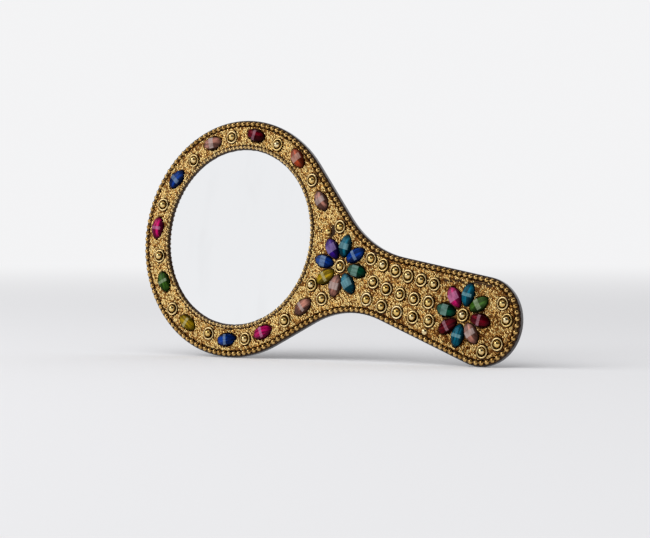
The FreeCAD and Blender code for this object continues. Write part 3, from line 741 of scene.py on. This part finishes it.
# Where the painted shade on a chain ball begins and is whole, in radii from its middle along Y.
BEAD_SHADE_SPAN = (-0.5, 0.2)
BEAD_ROUGHNESS = 0.22


def make_beads(name, points, radius, look, material):
    """A ball at every point, each a little different in size."""
    recipe = Recipe(f"{name}_chain", look.seed)
    size = recipe.input("Radius", "Float", radius)
    spread = recipe.input("Spread", "Float", look.spread)
    bead = {"Segments": BEAD_SEGMENTS, "Rings": BEAD_RINGS, "Radius": size}
    sphere = recipe.field("GeometryNodeMeshUVSphere", bead, "Mesh")
    smooth = recipe.field("GeometryNodeSetShadeSmooth", {"Geometry": sphere})
    turn = recipe.random((0, 0, 0), (math.tau, math.tau, math.tau), 0)
    scale = 1 - spread * recipe.random(0.0, 1.0, 1)
    sockets = {"Points": recipe.geometry, "Instance": smooth, "Rotation": turn, "Scale": scale}
    recipe.finish(sockets, "ball", material)
    return recipe.run(name, point_mesh(name, points))


# Seal round the glass. Its profile: how far from the inner or outer edge, and how far before the glass
SEAL_STEPS = 360
SEAL_INSIDE = ((0, -0.00005), (0.0001, 0.00015), (0.0005, 0.0003), (0.0009, 0.0006))
SEAL_OUTSIDE = ((0.0003, 0.0008), (0, 0.0006), (0, -0.00005))
SEAL_REACH = 1.55
SEAL_OVERLAP = 0.0002
SEAL_RAGGED, SEAL_WAVES = 0.00016, 22
SEAL_RUBBED = (GLASS_LOW.y - 0.0006, GLASS_LOW.y - 0.0004)


def seal_mesh(ring, bead):
    """Ring of lac that the chain round the glass sits in, its inner edge a little uneven."""
    outer = GLASS_RADIUS + SEAL_OVERLAP
    mesh = bmesh.new()
    loops = []
    for step in range(SEAL_STEPS):
        angle = math.tau * step / SEAL_STEPS
        way = Vector((math.cos(angle), 0, math.sin(angle)))
        inner = ring - SEAL_REACH * bead + SEAL_RAGGED * noise.noise(way * SEAL_WAVES)
        profile = [(inner + far, ahead) for far, ahead in SEAL_INSIDE]
        profile += [(outer - far, ahead) for far, ahead in SEAL_OUTSIDE]
        loop = []
        for radius, ahead in profile:
            x, _, z = GLASS_CENTRE + way * radius
            loop.append(mesh.verts.new((x, GLASS_LOW.y - ahead, z)))
        loops.append(loop)
    for first, second in zip(loops, loops[1:] + loops[:1]):
        for point in range(len(first)):
            after = (point + 1) % len(first)
            mesh.faces.new((first[point], first[after], second[after], second[point]))
    return smooth_mesh("glass_seal", mesh)


def seal_finish(look):
    """Lac painted near black as the shade between the chain and the glass, with a little gold rubbed into
    it.
    """
    finish = Finish("seal", {"Roughness": 0.4})
    raised = 1 - finish.step(finish.axis("Y"), *SEAL_RUBBED)
    rubbed = finish.step(finish.noise(0.0009, 3), 0.5, 0.68) * 0.8 * raised
    # Its near black tone is painted shade; the rubbed gold is wear.
    finish.tint(rubbed, shade(look.dirt, 0.3), look.tarnish)
    finish.feed("Metallic", rubbed)
    finish.bump(finish.noise(0.0007), distance=0.0001, strength=0.6)
    return finish.material


class HANDMIRROR_OT_chains(bpy.types.Operator):
    """Make the ball chains along the edge and round the glass"""
    bl_idname = "hand_mirror.chains"
    bl_label = "Ball Chains"

    def execute(self, context):
        look = context.scene.hand_mirror_beads
        self.add_chain(look, "rim_chain", look.rim_brass, look.rim_tarnish)
        centres, radius = self.add_chain(look, "glass_chain", look.brass, look.tarnish)
        ring = np.mean([math.hypot(x - GLASS_CENTRE.x, z - GLASS_CENTRE.z) for x, _, z in centres])
        seal = new_object("glass_seal", seal_mesh(ring, radius))
        paint(seal, seal_finish(look))
        settle(seal, "gold_lac")
        return {"FINISHED"}

    def add_chain(self, look, chain, brass, tarnish):
        """Balls and wires of a chain. Gives the middles and the radius of its balls."""
        low, high = solids(f"{chain}_balls")[0]
        radius = (high - low).max() / 2
        centres = middles(f"{chain}_balls")
        shade_span = [centres[0][1] + depth * radius for depth in BEAD_SHADE_SPAN]
        material = brass_finish(chain, brass, tarnish, look.dirt, shade_span, "ball", BEAD_ROUGHNESS)
        beads = make_beads(f"{chain}_beads", centres, radius, look, material)
        settle(beads, "chain", f"{chain}_balls")
        paint(NODES[f"{chain}_links"], material)
        return centres, radius


# Studs
CUP_STEPS = 32
LIP_DEPTH, LIP_ROUND = 0.00035, 0.0001
# From the top of a cup along Y: where the darker dish begins and is whole, and where the painted shade at
# the foot begins.
DISH_START, DISH_WHOLE, DISH_SHADE = 0.0002, 0.00045, 0.0006
STUD_BALL_STEPS, STUD_BALL_RINGS = 24, 14
# Where the painted shade on a stud ball begins and is whole, in radii behind its middle.
STUD_BALL_SHADE_SPAN = (0.1, 1.0)
STUD_BALL_ROUGHNESS = 0.2


def cup_mesh(lip, radius, top):
    """Turned cup: a thin lip round a dish, its foot at the origin and its top in front."""
    deep = 0.2 * top
    profile = (
        (0, 0),
        (0.92 * radius, 0),
        (radius - 0.3 * lip, 0.3 * top),
        (radius, top + LIP_DEPTH),
        (radius - 0.06 * lip, top + LIP_ROUND),
        (radius - 0.22 * lip, top),
        (radius - 0.75 * lip, top),
        (radius - 0.95 * lip, top + LIP_ROUND),
        (radius - 1.05 * lip, top + LIP_DEPTH),
        (radius - 1.2 * lip, deep + 0.3 * (top - deep)),
        (radius - 1.6 * lip, deep),
        (0, deep),
    )
    return turned_mesh("stud_cup", profile, CUP_STEPS)


def stud_ball_mesh(radius):
    angles = [math.pi * step / STUD_BALL_RINGS for step in range(STUD_BALL_RINGS + 1)]
    profile = [(radius * math.sin(angle), radius * math.cos(angle)) for angle in angles]
    return turned_mesh("stud_ball", profile, STUD_BALL_STEPS)


def make_studs(name, points, shape, look, off_centre, tilt, material):
    """A turned shape at every point, a little off its place and leaning."""
    recipe = Recipe(name, look.seed)
    pattern = recipe.input("Shape", "Object", shape)
    stray = recipe.input("Off centre", "Float", off_centre)
    lean = recipe.input("Lean", "Float", tilt)
    source = recipe.field("GeometryNodeObjectInfo", {"Object": pattern}, "Geometry")
    way = recipe.random((-1, 0, -1), (1, 0, 1), 0)
    offset = {"Geometry": recipe.geometry, "Offset": recipe.scaled(way, stray)}
    moved = recipe.field("GeometryNodeSetPosition", offset)
    turn = recipe.random((-1, 0, -1), (1, 0, 1), 1)
    sockets = {"Points": moved, "Instance": source, "Rotation": recipe.scaled(turn, lean)}
    recipe.finish(sockets, "stud", material)
    return recipe.run(name, point_mesh(name, points))


def cup_finish(look, front, back):
    """Pale brass lip, and painted shade: an olive-brown dish, near black at the bottom and round the
    outside by the foot.
    """
    finish = Finish("stud_cup", {"Metallic": 1.0})
    each = finish.attribute("stud")
    smudge = finish.noise(0.0009, 3)
    lip = finish.mix(each * 0.6 + smudge * 0.4, look.brass, look.olive)
    y = finish.axis("Y")
    inside = finish.step(y + smudge * 0.00015, front + DISH_START, front + DISH_WHOLE)
    # Painted shade: near black towards the foot, at the bottom of the dish and round the outside.
    deep = finish.step(y, front + DISH_SHADE, back)
    # Painted shade, darker in the dish inside the lip.
    worn = finish.mix(inside, lip, look.dish)
    finish.tint(deep, worn, look.dirt)
    finish.feed("Roughness", 0.14 + smudge * 0.18 + inside * 0.3)
    finish.bump(finish.noise(0.0005), distance=0.00003, strength=0.5)
    return finish.material


class HANDMIRROR_OT_studs(bpy.types.Operator):
    """Make the brass cups and their balls"""
    bl_idname = "hand_mirror.studs"
    bl_label = "Studs"

    def execute(self, context):
        look = context.scene.hand_mirror_studs
        low, high = solids("ring_stud_cups")[0]
        top, foot = low[1], high[1]
        cup = new_object("stud_cup_shape", cup_mesh(look.lip, (high[0] - low[0]) / 2, top - foot))
        material = cup_finish(look, top, foot)
        for stud in STUDS:
            feet = [(x, foot, z) for x, _, z in middles(f"{stud}_stud_cups")]
            cups = make_studs(f"{stud}_cups", feet, cup, look, 0.0, look.tilt, material)
            settle(cups, "stud_cup", f"{stud}_stud_cups")
        bpy.data.objects.remove(cup)
        self.add_balls(look)
        return {"FINISHED"}

    def add_balls(self, look):
        """A ball for every cup, and the balls whose cups are lost."""
        names = {f"{stud}_stud_balls": f"{stud}_balls" for stud in STUDS}
        names["bare_balls"] = "loose_balls"
        low, high = solids("bare_balls")[0]
        radius = look.ball_radius
        sunk = radius - (high[1] - low[1]) / 2
        ball = new_object("stud_ball_shape", stud_ball_mesh(radius))
        for node, name in names.items():
            centres = [middle + (0, sunk, 0) for middle in middles(node)]
            shade_span = [centres[0][1] + depth * radius for depth in STUD_BALL_SHADE_SPAN]
            material = brass_finish(
                f"{node}_brass", look.ball, look.brass, look.dirt, shade_span, "stud", STUD_BALL_ROUGHNESS)
            stray = 0.0 if node == "bare_balls" else look.off_centre
            settle(make_studs(name, centres, ball, look, stray, 0.0, material), "stud_ball", node)
        bpy.data.objects.remove(ball)


# Stones
FACET_ANGLE = math.radians(4)
SHARP_ANGLE = math.radians(35)
# Each stone's long way is taken towards this way, so its painted reflection lies on its upper half and its
# painted shade on its lower half.
UP_LEFT = np.array((-0.5, 0.87))

# Share of the usual band on each stone whose band is not narrow, as seen
NARROW_BAND = 0.6
BANDS = {
    "neck_petal": {1: 1.5, 2: 1.1, 4: 1.4, 5: 1.5, 6: 1.3, 8: 1.2},
    "handle_petal": {1: 1.5, 3: 0.9, 5: 1.1, 8: 1.3},
    "ring_stone": {1: 1.1, 2: 1.2, 4: 1.0, 5: 0.8},
}
# How pale the painted reflection on a stone's band and upper half is, from its body colour.
REFLECTION_GAIN, REFLECTION_POWER, REFLECTION_LEAST = 0.54, 0.4, 0.105
STONE_LAYERS = ("along", "across", "rise", "band", "wide", "stone")


def stone_axes(points):
    """Middle of a stone in X and Z, its long way, taken upwards, and the way across."""
    flat = points[:, (0, 2)]
    way = np.linalg.svd(flat - flat.mean(0), full_matrices=False)[2][0]
    way *= np.sign(way @ UP_LEFT)
    side = np.array((-way[1], way[0]))
    middle = sum(((flat @ axis).max() + (flat @ axis).min()) * axis for axis in (way, side)) / 2
    return middle, way, side


def stone_mesh(name, nodes, usual):
    """Stones of one colour, each with its band as wide as seen. Each point knows its place on its stone."""
    whole = bmesh.new()
    layers = [whole.verts.layers.float.new(layer) for layer in STONE_LAYERS]
    for number, node in enumerate(nodes):
        stone = merged(node)
        bmesh.ops.dissolve_limit(stone, angle_limit=FACET_ANGLE, verts=stone.verts, edges=stone.edges)
        points = np.array([vert.co for vert in stone.verts])
        middle, way, side = stone_axes(points)
        flat = points[:, (0, 2)] - middle
        along, across = flat @ way, flat @ side
        front = points[:, 1].min()
        edge = np.abs(along)[points[:, 1] < front + SAME_PLACE].max()
        group, _, place = node.rpartition("_")
        wide = BANDS[group].get(int(place), NARROW_BAND)
        band = usual / 2 * wide
        on_band = np.abs(along) < edge + SAME_PLACE
        widened = np.where(on_band, along * band / edge, along)
        rise = (LAC_TOP - points[:, 1]) / (LAC_TOP - front)
        copies = []
        for moved, z, y, height in zip(widened, across, points[:, 1], rise):
            x, up = middle + moved * way + z * side
            copy = whole.verts.new((x, y, up))
            values = (moved / along.max(), z / across.max(), height, abs(moved) / band, wide, number)
            for layer, value in zip(layers, values):
                copy[layer] = value
            copies.append(copy)
        stone.verts.index_update()
        for face in stone.faces:
            made = whole.faces.new([copies[vert.index] for vert in face.verts])
            made.smooth = not all(on_band[vert.index] for vert in face.verts)
        stone.free()
    for edge in whole.edges:
        rounded = all(face.smooth for face in edge.link_faces)
        edge.smooth = rounded and edge.calc_face_angle() < SHARP_ANGLE
    return kept_mesh(name, whole)


def stone_finish(name, body):
    """Cut glass over foil, with painted light: streaks of painted highlight and shade along it, painted
    shade on the edges, ends, lower half and foot, and a painted reflection on the flat band and the paler
    upper half.
    """
    finish = Finish(name, {"IOR": 1.45, "Specular IOR Level": 0.05})
    along, across = finish.attribute("along"), finish.attribute("across")
    lines = {"X": across * 2.6, "Y": along * 0.7, "Z": finish.attribute("stone") * 3.7}
    lined = finish.field("ShaderNodeCombineXYZ", lines)
    # Painted highlight and shade in streaks along the stone.
    streak_light = finish.step(finish.noise(1.0, 3, lined), 0.35, 0.65)
    # Painted shade on the edges and the ends.
    edge = finish.step(across | 0 - across, 0.25, 0.95)
    end = finish.step(along | 0 - along, 0.45, 1.0)
    dark = edge * 0.9 | end * 0.8
    # Painted shade on the lower half, and the body colour as a painted shaded and a painted lit copy.
    lower_half_shade = 1 - finish.step(along, -0.3, 0.0)
    tone = finish.mix(streak_light - lower_half_shade * 0.2, shade(body, 0.4), shade(body, 2.3))
    tone = finish.mix(dark, tone, shade(body, 0.13))
    # Painted reflection on the flat band, and on the upper half.
    top = finish.step(finish.attribute("rise"), 0.6, 0.9)
    band = top - top * finish.step(finish.attribute("band"), 1.0, 1.12)
    upper_half_reflection = finish.step(along, 0.0, 0.25) * (finish.attribute("wide") - 0.45) * (0.26 - 0.26 * dark)
    painted_reflection = [REFLECTION_GAIN * part ** REFLECTION_POWER + REFLECTION_LEAST for part in body]
    tone = finish.mix(band * (0.5 + streak_light * 0.4) | upper_half_reflection, tone, painted_reflection)
    # Painted shade at the foot, where the stone sits in the lac.
    foot_shade = 1 - finish.step(finish.attribute("rise"), 0.05, 0.4)
    finish.tint(foot_shade * 0.85, tone, shade(body, 0.1))
    finish.feed("Roughness", 0.05 + streak_light * 0.06)
    return finish.material


class HANDMIRROR_OT_stones(bpy.types.Operator):
    """Make the cut stones, one piece for each colour"""
    bl_idname = "hand_mirror.stones"
    bl_label = "Stones"

    def execute(self, context):
        look = context.scene.hand_mirror_stones
        for slot in sorted({SLOTS[node] for node in STONES}):
            nodes = [node for node in STONES if SLOTS[node] == slot]
            name = slot.replace("stone_", "stones_")
            piece = new_object(name, stone_mesh(name, nodes, look.band))
            paint(piece, stone_finish(slot, getattr(look, slot)))
            settle(piece, slot, *nodes)
        return {"FINISHED"}


# Shell, board and glass
def lacquer_finish(look):
    """Dark gloss lacquer with slow waves, scratches from handling and worn places."""
    finish = Finish("lacquer", {"Coat Weight": 0.5, "Coat Roughness": 0.08})
    cloud = finish.noise(0.02, 4)
    worn = finish.step(finish.noise(0.008, 5), 0.56, 0.75) * 0.6
    brushed = finish.noise(0.0025, 3, finish.stretched((0.05, 1.0, 1.0)))
    hair = finish.noise(0.0016, 2, finish.stretched((0.10, 1.0, 1.2)))
    cross = finish.noise(0.0021, 2, finish.stretched((1.1, 1.0, 0.12)))
    scratch = finish.step(hair, 0.66, 0.7) | finish.step(cross, 0.69, 0.72)
    dust = 1 - finish.step(finish.cells(0.0035), 0.03, 0.07)
    tone = finish.mix(worn | scratch * 0.5, look.lacquer, look.worn)
    finish.tint(dust * 0.25, tone, look.dust)
    finish.feed("Roughness", 0.1 + cloud * 0.14 + brushed * 0.12 + scratch * 0.25 + dust * 0.3)
    finish.bump(finish.noise(0.0016) + brushed * 0.5 - scratch * 0.4, distance=0.00004, strength=0.4)
    return finish.material


def board_finish(look):
    """Sawn wood, its grain along the handle."""
    finish = Finish("board", {"Roughness": 0.7})
    grain = finish.noise(0.0015, 4, finish.stretched((0.06, 1.0, 1.0)))
    dark = finish.step(grain, 0.35, 0.7)
    finish.tint(dark, look.board, shade(look.board, 0.45))
    finish.bump(grain, distance=0.0001, strength=0.5)
    return finish.material


class HANDMIRROR_OT_shell(bpy.types.Operator):
    """Finish the lacquered shell and the board in it"""
    bl_idname = "hand_mirror.shell"
    bl_label = "Shell and Board"

    def execute(self, context):
        look = context.scene.hand_mirror_shell
        paint(NODES["lacquer_shell"], lacquer_finish(look))
        paint(NODES["core_board"], board_finish(look))
        return {"FINISHED"}


def mirror_finish(look):
    """Silvered glass with faint smears."""
    finish = Finish("mirror", {"Metallic": 1.0})
    smear = finish.step(finish.noise(0.012, 4, finish.stretched((1.0, 1.0, 0.4))), 0.5, 0.8)
    finish.tint(smear, look.silver, shade(look.silver, 0.97))
    finish.feed("Roughness", 0.012 + smear * 0.03)
    return finish.material


def bedding_finish(look):
    """Dried adhesive, brown and uneven."""
    finish = Finish("bedding", {"Roughness": 0.6})
    cloud = finish.noise(0.004, 4)
    finish.tint(cloud, look.bedding, shade(look.bedding, 0.5))
    finish.bump(cloud, distance=0.0002, strength=0.5)
    return finish.material


class HANDMIRROR_OT_glass(bpy.types.Operator):
    """Finish the mirror glass and its bedding"""
    bl_idname = "hand_mirror.glass"
    bl_label = "Glass"

    def execute(self, context):
        look = context.scene.hand_mirror_glass
        paint(NODES["mirror_glass"], mirror_finish(look))
        paint(NODES["glass_bedding"], bedding_finish(look))
        return {"FINISHED"}


# Stage
def seen_directly(nodes):
    """1 for what the camera sees, also in metal and glass, and 0 for light that only falls on something."""
    path = nodes.add("ShaderNodeLightPath").outputs
    camera, glossy, through = (
        Field(nodes, path[f"Is {ray} Ray"]) for ray in ("Camera", "Glossy", "Transmission"))
    return camera | glossy | through


MATT = {"Roughness": 0.9, "Specular IOR Level": 0.0}
FLOOR_RADIUS = 9.0
FLOOR_STEPS = 128
FLOOR_POINT = Vector((0, 0.0015, 0))
FLOOR_FADE = (0.3, 1.8)


def floor_finish(look):
    """Pale floor that turns into the backdrop further out, and lets the view through from below."""
    finish = Finish("floor", {"Base Color": look.floor, **MATT})
    away = finish.field("ShaderNodeVectorMath", {0: finish.place}, "Value", operation="LENGTH")
    fade = finish.step(away, *FLOOR_FADE) * seen_directly(finish)
    glow = finish.field("ShaderNodeEmission", {"Color": look.backdrop})
    surface = finish.field("ShaderNodeMixShader", {0: fade, 1: finish.plain, 2: glow})
    behind = finish.field("ShaderNodeNewGeometry", output="Backfacing")
    clear = finish.field("ShaderNodeBsdfTransparent")
    finish.show(finish.field("ShaderNodeMixShader", {0: behind, 1: surface, 2: clear}))
    return finish.material


def towards(turn, height):
    """Way to what stands at a turn from the front towards +X and at a height, both in degrees."""
    a, e = math.radians(turn), math.radians(height)
    return Vector((math.sin(a) * math.cos(e), -math.cos(a) * math.cos(e), math.sin(e)))


def aim(thing, place, target):
    """Stand a lamp or a camera somewhere, facing a point."""
    thing.location = place
    thing.rotation_mode = "QUATERNION"
    thing.rotation_quaternion = (target - place).to_track_quat("-Z", "Y")


LAMP_DISTANCE = 1.5
SENSOR_WIDTH = 36


def area_lamp(name, turn, height, size, radiance):
    """A soft box that faces the middle of the mirror."""
    light = bpy.data.lights.new(name, "AREA")
    light.shape = "RECTANGLE"
    light.size, light.size_y = size
    light.energy = radiance * math.pi * size[0] * size[1]
    lamp = new_object(name, light)
    middle = (CAD_BOX[0] + CAD_BOX[1]) / 2
    aim(lamp, middle + LAMP_DISTANCE * towards(turn, height), middle)
    return lamp


# Dark cards: the turns from the front towards +X and the heights between which each stands, in degrees
CARDS = (
    ((-130, -54), (-12, 66)),
    ((-54, -18), (24, 66)),
    ((-18, -9), (-12, 66)),
    ((-9, 6), (12, 66)),
    ((6, 130), (-12, 66)),
)
CARD_CELL = 3
CARD_RADIUS = 2.2


def card_mesh(turns, heights):
    """A card bent round the stage between two turns and two heights."""
    across = round((turns[1] - turns[0]) / CARD_CELL)
    up = round((heights[1] - heights[0]) / CARD_CELL)
    columns, rows = np.linspace(*turns, across + 1), np.linspace(*heights, up + 1)
    corners = [CARD_RADIUS * towards(turn, height) for turn in columns for height in rows]
    starts = [a * (up + 1) + e for a in range(across) for e in range(up)]
    mesh = bpy.data.meshes.new("card")
    mesh.from_pydata(corners, [], [(i, i + 1, i + up + 2, i + up + 1) for i in starts])
    return mesh


class HANDMIRROR_OT_stage(bpy.types.Operator):
    """Set up floor, light and camera"""
    bl_idname = "hand_mirror.stage"
    bl_label = "Stage"

    def execute(self, context):
        look = context.scene.hand_mirror_stage
        context.scene.view_settings.view_transform = "Standard"
        self.add_floor(look)
        self.add_light(context, look)
        self.add_camera(context, look)
        return {"FINISHED"}

    def add_floor(self, look):
        mesh = bmesh.new()
        bmesh.ops.create_circle(mesh, cap_ends=True, segments=FLOOR_STEPS, radius=FLOOR_RADIUS)
        lean = Matrix.Translation(FLOOR_POINT) @ Matrix.Rotation(look.lean, 4, "X")
        bmesh.ops.transform(mesh, matrix=lean, verts=mesh.verts)
        floor = new_object("floor", kept_mesh("floor", mesh))
        paint(floor, floor_finish(look))

    def add_light(self, context, look):
        world = bpy.data.worlds.new("room")
        context.scene.world = world
        world.use_nodes = True
        nodes = Nodes(world.node_tree)
        nodes.tree.nodes.clear()
        shown = nodes.mix(seen_directly(nodes), look.room, look.backdrop)
        room = nodes.field("ShaderNodeBackground", {"Color": shown})
        nodes.add("ShaderNodeOutputWorld", {"Surface": room})
        area_lamp("soft_box", turn=-48, height=30, size=(1.3, 0.69), radiance=3.0)
        fill = area_lamp("fill", turn=15, height=45, size=(1.2, 1.2), radiance=0.9)
        fill.visible_glossy = False
        finish = Finish("card", {"Base Color": look.card, **MATT})
        for number, (turns, heights) in enumerate(CARDS, 1):
            card = new_object(f"card_{number}", card_mesh(turns, heights))
            paint(card, finish.material)
            card.visible_camera = False
            card.visible_diffuse = False
            card.visible_shadow = False

    def add_camera(self, context, look):
        data = bpy.data.cameras.new("camera")
        data.sensor_width = SENSOR_WIDTH
        data.lens = look.lens
        camera = new_object("camera", data)
        aim(camera, Vector(look.camera_place), Vector(look.camera_aim))
        roll = Quaternion((0, 0, 1), look.camera_roll)
        camera.rotation_quaternion = camera.rotation_quaternion @ roll
        context.scene.camera = camera


OPERATORS = (
    HANDMIRROR_OT_stage,
    HANDMIRROR_OT_shell,
    HANDMIRROR_OT_glass,
    HANDMIRROR_OT_bed,
    HANDMIRROR_OT_chains,
    HANDMIRROR_OT_studs,
    HANDMIRROR_OT_stones,
)
SETTINGS = {
    "hand_mirror_stage": StageSettings,
    "hand_mirror_shell": ShellSettings,
    "hand_mirror_glass": GlassSettings,
    "hand_mirror_bed": BedSettings,
    "hand_mirror_beads": BeadSettings,
    "hand_mirror_studs": StudSettings,
    "hand_mirror_stones": StoneSettings,
}


class VIEW3D_PT_hand_mirror(bpy.types.Panel):
    """Pieces of the hand mirror and their settings"""
    bl_label = "Hand Mirror"
    bl_space_type = "VIEW_3D"
    bl_region_type = "UI"
    bl_category = "Hand Mirror"

    def draw(self, context):
        for operator in OPERATORS:
            self.layout.operator(operator.bl_idname)
        for name, settings in SETTINGS.items():
            box = self.layout.box()
            for setting in settings.__annotations__:
                box.prop(getattr(context.scene, name), setting)


def register():
    for name, settings in SETTINGS.items():
        bpy.utils.register_class(settings)
        setattr(bpy.types.Scene, name, PointerProperty(type=settings))
    for operator in OPERATORS:
        bpy.utils.register_class(operator)
    bpy.utils.register_class(VIEW3D_PT_hand_mirror)


def unregister():
    bpy.utils.unregister_class(VIEW3D_PT_hand_mirror)
    for operator in reversed(OPERATORS):
        bpy.utils.unregister_class(operator)
    for name, settings in SETTINGS.items():
        delattr(bpy.types.Scene, name)
        bpy.utils.unregister_class(settings)


def main():
    register()
    bpy.ops.hand_mirror.stage()
    bpy.ops.hand_mirror.shell()
    bpy.ops.hand_mirror.glass()
    bpy.ops.hand_mirror.bed()
    bpy.ops.hand_mirror.chains()
    bpy.ops.hand_mirror.studs()
    bpy.ops.hand_mirror.stones()


if __name__ == "__main__":
    main()
